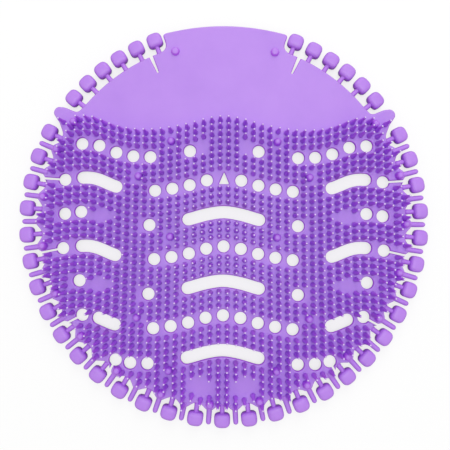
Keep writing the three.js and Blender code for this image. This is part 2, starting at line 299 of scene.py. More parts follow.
@dataclass(frozen=True)
class Layout:
    """Where the holes, slots, bristles and nubs stand, in millimetres from the ring's middle."""

    rim: Rim = Rim()
    wave: tuple[Knot, ...] = (
        Knot(0, 0),
        Knot(8, 1.15),
        Knot(16, 3.4),
        Knot(24, 5.1),
        Knot(33, 6.2),
        Knot(42, 6.0),
        Knot(50, 4.4),
        Knot(58, 1.2),
        Knot(62, 0.3),
        Knot(66, 0.35),
        Knot(74, 1.4),
        Knot(88, 4.2),
    )
    row_base: float = 3.85
    row_step: float = 15.85
    rows_per_step: int = 5
    top_row: int = 2
    rows_above_holes: int = 4
    rim_search_turns: int = 12
    hole_diameter: float = 5.65
    slot_width: float = 5.7
    hole_pitch: float = 8.0
    side_run_start: float = 34.4
    side_pitch: float = 7.95
    side_holes: int = 5
    arrow_width: float = 4.8
    arrow_height: float = 5.7
    column_pitch: float = 3.89
    column_splay: float = 3.0e-4
    bristle_foot: float = 2.3
    nub_diameter: float = 3.8
    hole_clearance: float = 0.3
    nub_clearance: float = 0.3
    arrow_clearance: float = 0.87
    edge_clearance: float = 0.95
    rim_nub_inset: float = 0.5
    ear_nub_inset: float = 1.0
    stud: tuple[float, float] = (23.3, 79.0)
    slit_holes: tuple[SlitHole, ...] = (
        SlitHole(1, 8.2, 13.25),
        SlitHole(-1, 8.9, 10.25),
        SlitHole(-3, 6.1, 7.25),
        SlitHole(-4, 3.4, 4.75),
    )
    rim_holes: tuple[tuple[int, float], ...] = ((0, 18.0), (0, 10.6), (-2, 12.2))
    bare_spots: tuple[BareSpot, ...] = (
        BareSpot(2, 9.6, 0.0, 3.0, 3.0),
        BareSpot(0, 55.5, 0.5, 6.2, 3.2),
        BareSpot(-2, 56.0, 0.5, 6.2, 3.2),
        BareSpot(-5, 10.0, 1.4, 6.6, 3.6),
    )
    field_nubs: tuple[tuple[float, float], ...] = (
        (24.6, 36.5),
        (39.5, 20.0),
        (24.6, -7.8),
        (39.4, -44.8),
        (24.5, -68.5),
    )

    def slope(self, index: int) -> float:
        """Slope of the wave at one of its points, level at both ends.

        Args:
            index: Which point of the wave.

        Returns:
            Drop per millimetre.
        """
        if index in (0, len(self.wave) - 1):
            return 0.0
        before, after = self.wave[index - 1], self.wave[index + 1]
        return (after.drop - before.drop) / (after.x - before.x)

    def drop(self, x: float) -> float:
        """How far a row lies below its crest.

        Args:
            x: Distance from the centre line, on either side.

        Returns:
            The drop in millimetres.
        """
        reach = abs(x)
        for index, (start, end) in enumerate(zip(self.wave, self.wave[1:])):
            if reach < end.x:
                span = end.x - start.x
                share = (reach - start.x) / span
                rest = 1 - share
                lean = self.slope(index) * rest - self.slope(index + 1) * share
                level = start.drop * rest**2 * (1 + 2 * share) + end.drop * share**2 * (1 + 2 * rest)
                return level + span * share * rest * lean
        return self.wave[-1].drop

    def on_row(self, row: float, x: float) -> Vector:
        """A point on a row of holes."""
        return Vector((x, self.row_base + row * self.row_step - self.drop(x)))

    def near_rim(self, row: int, inset: float) -> Vector:
        """Where a row comes to a given distance from the plate's edge, on the right.

        Args:
            row: The row of holes.
            inset: The distance from the edge.

        Returns:
            The place.
        """
        radius = self.rim.radius - inset
        place = self.on_row(row, radius)
        for _ in range(self.rim_search_turns):
            place = self.on_row(row, math.sqrt(radius**2 - place.y**2))
        return place

    def closed_holes(self) -> list[Vector]:
        """Centres of the round holes that no slit opens.

        Returns:
            The centres, on both sides.
        """
        pitch = self.hole_pitch
        side = [self.side_run_start + step * self.side_pitch for step in range(self.side_holes)]
        runs = {
            2: [2 * pitch, *side],
            1: [pitch * step for step in (1, 2, 3, 4)],
            0: [self.side_run_start],
            -1: [pitch * step for step in (1, 2, 3, 4)],
            -2: [self.side_run_start],
            -3: [pitch * step for step in (1, 2, 3, 4)],
            -4: side[:2],
        }
        right = [self.on_row(row, x) for row, places in runs.items() for x in places]
        right += [self.near_rim(row, inset) for row, inset in self.rim_holes]
        middle = [self.on_row(-1, 0), self.on_row(-3, 0)]
        return middle + right + [mirrored(point) for point in right]

    def slit_places(self) -> list[tuple[Vector, float]]:
        """Centres of the right-hand slit holes, with the angle at which each slit meets the rim."""
        return [
            (self.near_rim(hole.row, hole.inset), 180 - hole.paddle * self.rim.lower_step)
            for hole in self.slit_holes
        ]

    def slots(self) -> list[Slot]:
        """All curved slots.

        Returns:
            The slots of the middle and of both sides.
        """
        centre = [Slot(row, -16.4, 16.4) for row in (0, -2, -4)]
        side = [Slot(1, 50.0, 65.5), Slot(-1, 50.0, 65.5), Slot(-3, 49.7, 57.0)]
        return centre + side + [Slot(slot.row, -slot.end, -slot.start) for slot in side]

    def rim_nubs(self) -> list[Vector]:
        """Nubs at the foot of every second pin and on the ears.

        Returns:
            Their middles.
        """
        rim = self.rim
        pins = [rim_point(rim.radius - self.rim_nub_inset, angle) for angle in rim.pin_angles()[1::2]]
        ears = [rim_point(rim.radius - self.ear_nub_inset, side * rim.ear_angle) for side in (1, -1)]
        return pins + ears

    def nubs(self) -> list[Vector]:
        """Nubs standing among the bristles."""
        return [Vector((side * x, y)) for x, y in self.field_nubs for side in (1, -1)]

    def bristles(self, outline: list[Vector]) -> list[Vector]:
        """Places of the bristles, in rows between the rows of holes, on the same wave.

        Args:
            outline: The plate's edge.

        Returns:
            The middle of each bristle's foot.
        """
        pitch = self.row_step / self.rows_per_step
        end = self.top_row * self.rows_per_step + self.rows_above_holes
        first = math.floor((-self.rim.radius - self.row_base) / pitch)
        columns = math.ceil(self.rim.radius / self.column_pitch) + 2
        keep_off = KeepOff(self, outline)
        places = []
        for row in range(first, end):
            crest = self.row_base + (row + 0.5) * pitch
            spread = self.column_pitch * (1 - self.column_splay * crest)
            for column in range(-columns, columns):
                x = (column + 0.5) * spread
                place = Vector((x, crest - self.drop(x)))
                if keep_off.allows(place):
                    places.append(place)
        return places


def mirrored(point: Vector) -> Vector:
    """The point on the other side of the centre line."""
    return Vector((-point.x, point.y))


def painted_shade_at(height: float, painted_shades: PaintedShades) -> float:
    """Painted shade or highlight at a height.

    Args:
        height: Height above the floor in millimetres.
        painted_shades: Height and painted shade pairs, upwards, below 0 for painted highlight.

    Returns:
        The painted shade value, straight between two pairs and level beyond the ends.
    """
    if height <= painted_shades[0][0]:
        return painted_shades[0][1]
    for (low, start), (high, end) in zip(painted_shades, painted_shades[1:]):
        if height <= high:
            return start + (end - start) * (height - low) / (high - low)
    return painted_shades[-1][1]


def scallop(share: float) -> float:
    """Rise of the scalloped edge, from 0 at a stem to 1 at a pin.

    Args:
        share: Position round the rim, counted in paddles from a stem.

    Returns:
        The share of the full rise.
    """
    return ((1 - math.cos(2 * math.pi * share)) / 2) ** SCALLOP_SHARPNESS


class KeepOff:
    """Keeps the bristles clear of openings, nubs, smooth spots and the edge."""

    def __init__(self, layout: Layout, outline: list[Vector]) -> None:
        """Collects what the bristles stay clear of.

        Args:
            layout: The layout of the plate.
            outline: The plate's edge, with its slits and the holes that they open.
        """
        self.layout = layout
        self.margin = layout.bristle_foot / 2 + layout.hole_clearance
        self.outline = outline
        self.edge = list(zip(outline, outline[1:] + outline[:1]))
        self.holes = layout.closed_holes()
        self.slots = [self.centre_line(slot) for slot in layout.slots()]
        self.nubs = layout.nubs() + layout.rim_nubs()
        self.arrow = layout.on_row(1, 0)

    def centre_line(self, slot: Slot) -> list[Vector]:
        """Points along the middle of a slot.

        Args:
            slot: The slot, by its row and its two ends.

        Returns:
            The points, from left to right.
        """
        steps = 8
        span = slot.end - slot.start
        stations = [slot.start + span * step / steps for step in range(steps + 1)]
        return [self.layout.on_row(slot.row, x) for x in stations]

    @staticmethod
    def from_segment(point: Vector, start: Vector, end: Vector) -> float:
        """Distance of a point from a straight stretch.

        Args:
            point: The point.
            start: One end of the stretch.
            end: Its other end.

        Returns:
            The distance.
        """
        span = end - start
        share = max(0.0, min(1.0, (point - start).dot(span) / span.length_squared))
        return (point - start - span * share).length

    def on_plate(self, point: Vector) -> bool:
        """Whether a point lies within the plate's outline.

        Args:
            point: The point.

        Returns:
            True inside the outline.
        """
        inside = False
        for start, end in self.edge:
            if (start.y > point.y) != (end.y > point.y):
                share = (point.y - start.y) / (end.y - start.y)
                if point.x < start.x + (end.x - start.x) * share:
                    inside = not inside
        return inside

    def allows(self, point: Vector) -> bool:
        """Whether a bristle has room at a point.

        Args:
            point: The middle of its foot.

        Returns:
            True where nothing is in its way.
        """
        radius = self.layout.hole_diameter / 2 + self.margin
        nub_reach = self.layout.nub_diameter / 2 + self.layout.nub_clearance
        if any((point - hole).length < radius for hole in self.holes):
            return False
        if any((point - nub).length < nub_reach for nub in self.nubs):
            return False
        if (point - self.arrow).length < self.layout.arrow_height / 2 + self.layout.arrow_clearance:
            return False
        if any(self.in_spot(point, spot) for spot in self.layout.bare_spots):
            return False
        for line in self.slots:
            if any(self.from_segment(point, a, b) < radius for a, b in zip(line, line[1:])):
                return False
        if not self.on_plate(point):
            return False
        clearance = self.layout.edge_clearance
        return not any(self.from_segment(point, a, b) < clearance for a, b in self.edge)

    def in_spot(self, point: Vector, spot: BareSpot) -> bool:
        """Whether a point lies on a smooth oval.

        Args:
            point: The point.
            spot: The oval, given on the right half and mirrored.

        Returns:
            True on the oval.
        """
        side = math.copysign(1.0, point.x)
        centre = self.layout.on_row(spot.row, side * spot.x)
        across = (point.x - centre.x) / spot.wide
        up = (point.y - centre.y - spot.y) / spot.high
        return math.hypot(across, up) < 1


@dataclass(frozen=True)
class SoftVinyl:
    """The finish of the moulding: soft, slightly translucent lavender vinyl with a satin skin, with
    painted shade on steep faces and painted highlights at the bristle tips mixed into its colour.
    """

    name: str = "soft_vinyl"
    color: tuple[float, float, float] = (0.505, 0.265, 0.83)
    deep: tuple[float, float, float] = (0.475, 0.245, 0.805)
    # colour of the painted shade on steep sides, walls and undersides
    side: tuple[float, float, float] = (0.50, 0.115, 0.84)
    # near-white colour of the painted highlight on the bristle tips and the plate's upper edge
    tip: tuple[float, float, float] = (0.92, 0.82, 1.0)
    roughness: float = 0.38
    subsurface: float = 0.12
    scatter: tuple[float, float, float] = (1.0, 0.45, 1.0)
    scatter_mm: float = 1.0
    mottle_mm: float = 14.0
    mottle_detail: float = 3.0
    mottle_from: float = 0.25
    mottle_to: float = 0.6
    satin_spread: tuple[float, float] = (-0.05, 0.07)
    ior: float = 1.46
    grain_mm: float = 0.5
    grain_detail: float = 2.0
    grain_depth_mm: float = 0.012
    grain_strength: float = 0.6

    def build(self) -> bpy.types.Material:
        """Makes the material.

        Returns:
            A node material that reads object coordinates and the moulding's painted shade and highlight
            values.
        """
        material = bpy.data.materials.new(self.name)
        material.use_nodes = True
        nodes = material.node_tree.nodes
        links = material.node_tree.links
        shader = nodes["Principled BSDF"]
        shader.inputs["Subsurface Weight"].default_value = self.subsurface
        shader.inputs["Subsurface Radius"].default_value = self.scatter
        shader.inputs["Subsurface Scale"].default_value = self.scatter_mm * MM
        shader.inputs["IOR"].default_value = self.ior
        place = nodes.new("ShaderNodeTexCoord")
        mottle = self.noise(nodes, 1 / (self.mottle_mm * MM), self.mottle_detail)
        links.new(place.outputs["Object"], mottle.inputs["Vector"])
        blend = nodes.new("ShaderNodeMix")
        blend.data_type = "RGBA"
        blend.inputs["A"].default_value = (*self.deep, 1)
        blend.inputs["B"].default_value = (*self.color, 1)
        contrast = self.clamped(nodes, self.mottle_from, self.mottle_to)
        links.new(mottle.outputs["Fac"], contrast.inputs["Value"])
        links.new(contrast.outputs["Result"], blend.inputs["Factor"])
        # the vertex values paint shade towards the side colour and highlights towards the tip colour
        tone = nodes.new("ShaderNodeAttribute")
        tone.attribute_name = SHADING_ATTRIBUTE
        shade = self.clamped(nodes, 0.0, 1.0)
        glow = self.clamped(nodes, 0.0, -1.0)
        painted_shade_mix = self.tint(nodes, self.side)
        painted_highlight_mix = self.tint(nodes, self.tip)
        links.new(tone.outputs["Fac"], shade.inputs["Value"])
        links.new(tone.outputs["Fac"], glow.inputs["Value"])
        links.new(shade.outputs["Result"], painted_shade_mix.inputs["Factor"])
        links.new(glow.outputs["Result"], painted_highlight_mix.inputs["Factor"])
        links.new(blend.outputs["Result"], painted_shade_mix.inputs["A"])
        links.new(painted_shade_mix.outputs["Result"], painted_highlight_mix.inputs["A"])
        links.new(painted_highlight_mix.outputs["Result"], shader.inputs["Base Color"])
        satin = nodes.new("ShaderNodeMapRange")
        for socket, spread in zip(("To Min", "To Max"), self.satin_spread):
            satin.inputs[socket].default_value = self.roughness + spread
        links.new(mottle.outputs["Fac"], satin.inputs["Value"])
        links.new(satin.outputs["Result"], shader.inputs["Roughness"])
        grain = self.noise(nodes, 1 / (self.grain_mm * MM), self.grain_detail)
        links.new(place.outputs["Object"], grain.inputs["Vector"])
        bump = nodes.new("ShaderNodeBump")
        bump.inputs["Distance"].default_value = self.grain_depth_mm * MM
        bump.inputs["Strength"].default_value = self.grain_strength
        links.new(grain.outputs["Fac"], bump.inputs["Height"])
        links.new(bump.outputs["Normal"], shader.inputs["Normal"])
        return material

    @staticmethod
    def clamped(nodes: bpy.types.Nodes, start: float, end: float) -> bpy.types.Node:
        """A node that rises from 0 to 1 between two values and stays there.

        Args:
            nodes: Where the node goes.
            start: Value that gives 0.
            end: Value that gives 1.

        Returns:
            The node.
        """
        node = nodes.new("ShaderNodeMapRange")
        node.inputs["From Min"].default_value = start
        node.inputs["From Max"].default_value = end
        return node

    @staticmethod
    def tint(nodes: bpy.types.Nodes, color: tuple[float, float, float]) -> bpy.types.Node:
        """A node that mixes a colour into its first input.

        Args:
            nodes: Where the node goes.
            color: The colour.

        Returns:
            The node.
        """
        node = nodes.new("ShaderNodeMix")
        node.data_type = "RGBA"
        node.inputs["B"].default_value = (*color, 1)
        return node

    @staticmethod
    def noise(nodes: bpy.types.Nodes, scale: float, detail: float) -> bpy.types.Node:
        """A noise texture.

        Args:
            nodes: Where the node goes.
            scale: Waves to the metre.
            detail: How many finer layers it has.

        Returns:
            The node.
        """
        node = nodes.new("ShaderNodeTexNoise")
        node.inputs["Scale"].default_value = scale
        node.inputs["Detail"].default_value = detail
        return node


@dataclass(frozen=True)
class PaleFloor:
    """The plain floor under the screen."""

    name: str = "pale_floor"
    color: tuple[float, float, float] = (0.29, 0.29, 0.288)
    glow: float = 0.7
    roughness: float = 0.9
    specular: float = 0.1

    def build(self) -> bpy.types.Material:
        """Makes the floor's material.

        Returns:
            A pale material that glows a little to the camera only.
        """
        material = bpy.data.materials.new(self.name)
        material.use_nodes = True
        nodes = material.node_tree.nodes
        links = material.node_tree.links
        shader = nodes["Principled BSDF"]
        shader.inputs["Base Color"].default_value = (*self.color, 1)
        shader.inputs["Emission Color"].default_value = (1, 1, 1, 1)
        shader.inputs["Roughness"].default_value = self.roughness
        shader.inputs["Specular IOR Level"].default_value = self.specular
        seen = nodes.new("ShaderNodeLightPath")
        strength = nodes.new("ShaderNodeMath")
        strength.operation = "MULTIPLY"
        strength.inputs[1].default_value = self.glow
        links.new(seen.outputs["Is Camera Ray"], strength.inputs[0])
        links.new(strength.outputs["Value"], shader.inputs["Emission Strength"])
        return material


def new_object(name: str, bm: bmesh.types.BMesh) -> bpy.types.Object:
    """Puts a mesh into the scene.

    Args:
        name: The object's name.
        bm: The mesh, which is freed.

    Returns:
        The new object.
    """
    mesh = bpy.data.meshes.new(name)
    bm.to_mesh(mesh)
    bm.free()
    made = bpy.data.objects.new(name, mesh)
    bpy.context.scene.collection.objects.link(made)
    return made


def lathe(profile: list[tuple[float, float]], sides: int) -> bmesh.types.BMesh:
    """A closed turned shape about Z.

    Args:
        profile: Radius and height pairs in millimetres, from the lower end to the upper, both
            ends with a radius of 0.
        sides: Facets round the axis.

    Returns:
        The mesh in metres, faces outwards.
    """
    bm = bmesh.new()
    low = bm.verts.new((0, 0, profile[0][1] * MM))
    high = bm.verts.new((0, 0, profile[-1][1] * MM))
    rings = []
    for radius, height in profile[1:-1]:
        ring = []
        for side in range(sides):
            angle = 2 * math.pi * side / sides
            ring.append(
                bm.verts.new((radius * math.cos(angle) * MM, radius * math.sin(angle) * MM, height * MM))
            )
        rings.append(ring)
    for side in range(sides):
        after = (side + 1) % sides
        bm.faces.new((low, rings[0][after], rings[0][side]))
        bm.faces.new((high, rings[-1][side], rings[-1][after]))
        for lower, upper in zip(rings, rings[1:]):
            bm.faces.new((lower[side], lower[after], upper[after], upper[side]))
    return bm


class Repeater:
    """Sets copies of one pattern on a list of places with Geometry Nodes."""

    def __init__(self, material: bpy.types.Material) -> None:
        """Builds the node tree.

        Args:
            material: The finish of every copy.
        """
        self.material = material
        self.tree = bpy.data.node_groups.new("repeat_pattern", "GeometryNodeTree")
        face = self.tree.interface
        face.new_socket("Geometry", in_out="INPUT", socket_type="NodeSocketGeometry")
        face.new_socket("Geometry", in_out="OUTPUT", socket_type="NodeSocketGeometry")
        sockets = {"Pattern": "NodeSocketObject", "Material": "NodeSocketMaterial"}
        self.ids = {
            name: face.new_socket(name, in_out="INPUT", socket_type=kind).identifier
            for name, kind in sockets.items()
        }
        nodes = self.tree.nodes
        links = self.tree.links
        entry = nodes.new("NodeGroupInput")
        leave = nodes.new("NodeGroupOutput")
        pattern = nodes.new("GeometryNodeObjectInfo")
        turn = nodes.new("GeometryNodeInputNamedAttribute")
        turn.data_type = "FLOAT_VECTOR"
        turn.inputs["Name"].default_value = "turn"
        rotation = nodes.new("FunctionNodeEulerToRotation")
        copies = nodes.new("GeometryNodeInstanceOnPoints")
        real = nodes.new("GeometryNodeRealizeInstances")
        smooth = nodes.new("GeometryNodeSetShadeSmooth")
        finish = nodes.new("GeometryNodeSetMaterial")
        links.new(entry.outputs["Geometry"], copies.inputs["Points"])
        links.new(entry.outputs["Pattern"], pattern.inputs["Object"])
        links.new(pattern.outputs["Geometry"], copies.inputs["Instance"])
        links.new(turn.outputs["Attribute"], rotation.inputs["Euler"])
        links.new(rotation.outputs["Rotation"], copies.inputs["Rotation"])
        links.new(copies.outputs["Instances"], real.inputs["Geometry"])
        links.new(real.outputs["Geometry"], smooth.inputs["Geometry"])
        links.new(smooth.outputs["Geometry"], finish.inputs["Geometry"])
        links.new(entry.outputs["Material"], finish.inputs["Material"])
        links.new(finish.outputs["Geometry"], leave.inputs["Geometry"])

    def repeat(
        self,
        name: str,
        pattern: bmesh.types.BMesh,
        places: list[Vector],
        turns: list[tuple[float, float, float]],
    ) -> bpy.types.Mesh:
        """Makes the copies.

        Args:
            name: Name of the result.
            pattern: The shape to repeat, standing on its own origin.
            places: Where its origin goes, in metres.
            turns: Its Euler rotation at each place.

        Returns:
            One plain mesh with all copies.
        """
        shape = new_object(name + "_pattern", pattern)
        points = bpy.data.meshes.new(name + "_places")
        points.from_pydata([tuple(place) for place in places], [], [])
        attribute = points.attributes.new("turn", "FLOAT_VECTOR", "POINT")
        attribute.data.foreach_set("vector", [value for turn in turns for value in turn])
        carrier = bpy.data.objects.new(name + "_places", points)
        bpy.context.scene.collection.objects.link(carrier)
        modifier = carrier.modifiers.new("repeat", "NODES")
        modifier.node_group = self.tree
        modifier[self.ids["Pattern"]] = shape
        modifier[self.ids["Material"]] = self.material
        mesh = baked_mesh(carrier)
        mesh.name = name
        for helper in (carrier, shape):
            data = helper.data
            bpy.data.objects.remove(helper)
            bpy.data.meshes.remove(data)
        log.info("%s: %d copies, %d faces", name, len(places), len(mesh.polygons))
        return mesh


def baked_mesh(obj: bpy.types.Object) -> bpy.types.Mesh:
    """Applies an object's modifiers.

    Args:
        obj: The object, which stays as it is.

    Returns:
        Its mesh with the modifiers applied.
    """
    graph = bpy.context.evaluated_depsgraph_get()
    graph.update()
    return bpy.data.meshes.new_from_object(obj.evaluated_get(graph), depsgraph=graph)


@dataclass
class Plate:
    """The perforated plate with rounded edges, scalloped rim, ears and crescent."""

    layout: Layout
    heights: Heights
    edge_rounding: float = 0.75
    rounding_steps: int = 4
    hole_points: int = 26
    arrow_easing: float = 0.35
    arrow_corner_share: float = 0.3
    longest_corner: float = 1.4
    ear_approach: float = 6.4

    def outer_edge(self) -> list[Vector]:
        """The plate's outline, clockwise from the top of the crescent.

        Returns:
            The outline, with the slits and the holes that they open.
        """
        right = self.right_edge()
        left = [mirrored(point) for point in reversed(right[1:-1])]
        return right + left

    def right_edge(self) -> list[Vector]:
        """The right half of the outline.

        Returns:
            Its points, from the crescent's top to the bottom.
        """
        rim = self.layout.rim
        top = rim.crescent_radius
        flare = rim.crescent_end_rise - rim.crescent_rise
        points = []
        for degrees in (0, 2.4, 4.8, 7.2, 9.6, 12, 14.4):
            points.append(rim_point(top + flare * (degrees / rim.crescent_half) ** 2, degrees))
        end = rim.radius + rim.crescent_end_rise
        corner = [
            rim_point(end - 0.12, 16.6),
            rim_point(end - 0.1, rim.crescent_half - 0.75),
            rim_point(end - 0.9, rim.crescent_half - 0.1),
            rim_point(rim.radius + 4.6, rim.crescent_half - 0.1),
            rim_point(rim.radius + 2.4, rim.crescent_half + 0.05),
            rim_point(rim.radius + 0.9, rim.crescent_half + 0.75),
            rim_point(rim.radius + 0.2, rim.crescent_half + 1.8),
            rim_point(rim.radius, rim.crescent_half + 3.1),
        ]
        points += smooth_through(corner, 4)
        points += self.crescent_slit()
        step = 1.5
        degrees = rim.crescent_slit_angle + step
        ear_start = rim.ear_angle - self.ear_approach
        while degrees < ear_start:
            points.append(rim_point(rim.radius, degrees))
            degrees += step
        points += self.ear_edge()
        points += self.scalloped_edge()
        return points

    def crescent_slit(self) -> list[Vector]:
        """The tapering cut into the plate beside the crescent.

        Returns:
            Its points.
        """
        rim = self.layout.rim
        angle = rim.crescent_slit_angle
        inner = rim.radius - rim.crescent_slit_depth
        mouth = rim.slit_width * 0.85
        tip = rim.slit_width * 0.4
        return [
            rim_point(rim.radius, angle, -mouth),
            rim_point(inner + tip, angle, -tip),
            rim_point(inner, angle, -tip * 0.4),
            rim_point(inner, angle, tip * 0.4),
            rim_point(inner + tip, angle, tip),
            rim_point(rim.radius, angle, mouth),
        ]

    def ear_edge(self) -> list[Vector]:
        """The rounded lobe on the shoulder, with flared feet.

        Returns:
            Its points.
        """
        rim = self.layout.rim
        tip = rim.ear_tip_radius
        middle = rim.ear_rise - tip
        arc = []
        for degrees in range(-75, 76, 25):
            angle = math.radians(degrees)
            arc.append((tip * math.sin(angle), middle + tip * math.cos(angle)))
        edge = [*rim.ear_upper_side, *arc, *rim.ear_lower_side]
        points = [rim_point(rim.radius + rise, rim.ear_angle, beside) for beside, rise in edge]
        return smooth_through(points, 4)

    def scalloped_edge(self) -> list[Vector]:
        """The edge from the right ear to the bottom.

        Returns:
            Its points, with its slits and the holes that they open.
        """
        rim = self.layout.rim
        first = rim.lower_angles()[0]
        slits = sorted(self.layout.slit_places(), key=lambda item: item[1])
        steps = 12
        points = []
        count = round((180 - first) / rim.lower_step * steps)
        for index in range(count + 1):
            degrees = first + index * rim.lower_step / steps
            if slits and abs(degrees - slits[0][1]) < rim.lower_step / steps:
                if degrees >= slits[0][1]:
                    points += self.slit_detour(*slits.pop(0))
                continue
            radius = rim.radius + rim.scallop_rise * scallop(index / steps)
            points.append(rim_point(radius, degrees))
        return points

    def slit_detour(self, centre: Vector, degrees: float) -> list[Vector]:
        """The outline's way in along a slit, round its hole and out again.

        Args:
            centre: The hole's centre.
            degrees: The angle at which the slit meets the rim.

        Returns:
            Outline points with the material on the right.
        """
        rim = self.layout.rim
        share = (degrees - rim.lower_angles()[0]) / rim.lower_step
        mouth = rim_point(rim.radius + rim.scallop_rise * scallop(share), degrees)
        outward = (mouth - centre).normalized()
        across = Vector((-outward.y, outward.x)) * (rim.slit_width / 2)
        radius = self.layout.hole_diameter / 2
        gap = math.asin(rim.slit_width / 2 / radius)
        start = math.atan2(outward.y, outward.x) + gap
        sweep = 2 * math.pi - 2 * gap
        arc = []
        for index in range(self.hole_points + 1):
            angle = start + sweep * index / self.hole_points
            arc.append(centre + Vector((math.cos(angle), math.sin(angle))) * radius)
        return [mouth + across, *arc, mouth - across]

    def round_hole(self, centre: Vector) -> list[Vector]:
        """A round hole's outline, with the material on the right.

        Args:
            centre: The hole's centre.

        Returns:
            Its points, counter-clockwise.
        """
        radius = self.layout.hole_diameter / 2
        turn = 2 * math.pi / self.hole_points
        return [
            centre + Vector((math.cos(turn * side), math.sin(turn * side))) * radius
            for side in range(self.hole_points)
        ]

    def slot_hole(self, slot: Slot) -> list[Vector]:
        """A slot's outline.

        Args:
            slot: The slot, by its row and its two ends.

        Returns:
            Its points, counter-clockwise.
        """
        radius = self.layout.slot_width / 2
        steps = max(4, round(abs(slot.end - slot.start) / 2))
        ends = 8
        beside = 0.1
        stations = [slot.start + (slot.end - slot.start) * step / steps for step in range(steps + 1)]
        centres = [self.layout.on_row(slot.row, x) for x in stations]
        across = []
        for x in stations:
            before = self.layout.on_row(slot.row, x - beside)
            along = self.layout.on_row(slot.row, x + beside) - before
            across.append(Vector((-along.y, along.x)).normalized() * radius)
        lower = [centre - side for centre, side in zip(centres, across)]
        upper = [centre + side for centre, side in zip(centres, across)]
        right = [self.turned(centres[-1], -across[-1], math.pi * k / ends) for k in range(1, ends)]
        left = [self.turned(centres[0], across[0], math.pi * k / ends) for k in range(1, ends)]
        return lower + right + upper[::-1] + left

    @staticmethod
    def turned(centre: Vector, arm: Vector, angle: float) -> Vector:
        """A point at the end of an arm turned counter-clockwise about a centre."""
        return centre + Matrix.Rotation(angle, 2) @ arm

    def arrow_hole(self) -> list[Vector]:
        """The small upright triangle with eased corners.

        Returns:
            Its points, counter-clockwise.
        """
        x, y = self.layout.on_row(1, 0)
        half = self.layout.arrow_width / 2
        high = self.layout.arrow_height / 2
        corners = [Vector((x - half, y - high)), Vector((x + half, y - high)), Vector((x, y + high))]
        points = []
        for index, corner in enumerate(corners):
            before = corners[index - 1]
            after = corners[(index + 1) % 3]
            back = (before - corner).normalized() * self.arrow_easing
            onward = (after - corner).normalized() * self.arrow_easing
            points.append(corner + back)
            points.append(corner + (back + onward) * self.arrow_corner_share)
            points.append(corner + onward)
        return points

    def build(self) -> bpy.types.Mesh:
        """The plate as one closed mesh with rounded edges.

        Returns:
            The mesh in metres, about the ring's middle.
        """
        outlines = [self.outer_edge()]
        outlines += [self.round_hole(centre) for centre in self.layout.closed_holes()]
        outlines += [self.slot_hole(slot) for slot in self.layout.slots()]
        outlines.append(self.arrow_hole())
        bm = bmesh.new()
        for outline in outlines:
            self.add_wall(bm, outline)
        self.add_cap(bm, outlines, Side.TOP)
        self.add_cap(bm, outlines, Side.BOTTOM)
        bmesh.ops.remove_doubles(bm, verts=bm.verts, dist=1e-7)
        log.info("plate: %d outlines, %d faces", len(outlines), len(bm.faces))
        mesh = bpy.data.meshes.new("plate")
        bm.to_mesh(mesh)
        bm.free()
        return mesh

    def painted_shades(self) -> PaintedShades:
        """Painted shade down the walls and on the lower face, and a painted highlight line on the upper
        rounded edge.

        Returns:
            Height and painted shade pairs, upwards.
        """
        foot, top = self.heights.foot, self.heights.top
        return (
            (foot, 0.3),
            (foot + 0.4, 0.9),
            (top - 0.22, 0.9),
            (top - 0.06, -0.15),
            (top, 0.0),
        )

    def profile(self) -> list[tuple[float, float]]:
        """The edge's section, from the upper face down to the lower one.

        Returns:
            Inset and height pairs.
        """
        r = self.edge_rounding
        upper = []
        for step in range(self.rounding_steps + 1):
            angle = math.pi / 2 * step / self.rounding_steps
            upper.append((r * (1 - math.sin(angle)), self.heights.top - r * (1 - math.cos(angle))))
        flipped = [(inset, 2 * self.heights.middle - height) for inset, height in reversed(upper)]
        return upper + flipped

    def inset_directions(self, outline: list[Vector]) -> list[Vector]:
        """Directions into the material, lengthened at corners.

        Args:
            outline: The outline, with the material on its right.

        Returns:
            One direction for each point.
        """
        directions = []
        for index, point in enumerate(outline):
            before = (point - outline[index - 1]).normalized()
            after = (outline[(index + 1) % len(outline)] - point).normalized()
            inward_before = Vector((before.y, -before.x))
            inward_after = Vector((after.y, -after.x))
            bisector = inward_before + inward_after
            length = bisector.length
            directions.append(bisector / length * min(self.longest_corner, 2 / length))
        return directions

    def add_wall(self, bm: bmesh.types.BMesh, outline: list[Vector]) -> None:
        """Adds the rounded wall round one outline.

        Args:
            bm: The plate.
            outline: The outline, with the material on its right.
        """
        directions = self.inset_directions(outline)
        rings = []
        for inset, height in self.profile():
            ring = []
            for point, direction in zip(outline, directions):
                x, y = point + direction * inset
                ring.append(bm.verts.new((x * MM, y * MM, height * MM)))
            rings.append(ring)
        count = len(outline)
        for upper, lower in zip(rings, rings[1:]):
            for index in range(count):
                after = (index + 1) % count
                bm.faces.new((upper[index], lower[index], lower[after], upper[after])).normal_flip()

    def add_cap(self, bm: bmesh.types.BMesh, outlines: list[list[Vector]], side: Side) -> None:
        """Fills the upper or lower face between the outlines.

        Args:
            bm: The plate.
            outlines: The plate's edge and all its openings.
            side: Which face.
        """
        inset, height = self.profile()[0 if side is Side.TOP else -1]
        loops = []
        for outline in outlines:
            directions = self.inset_directions(outline)
            loops.append(
                [
                    Vector(((p.x + d.x * inset) * MM, (p.y + d.y * inset) * MM, height * MM))
                    for p, d in zip(outline, directions)
                ]
            )
        vertices = [bm.verts.new(point) for loop in loops for point in loop]
        for triangle in tessellate_polygon(loops):
            face = bm.faces.new([vertices[index] for index in triangle])
            face.normal_update()
            if face.normal.z * side.value < 0:
                face.normal_flip()


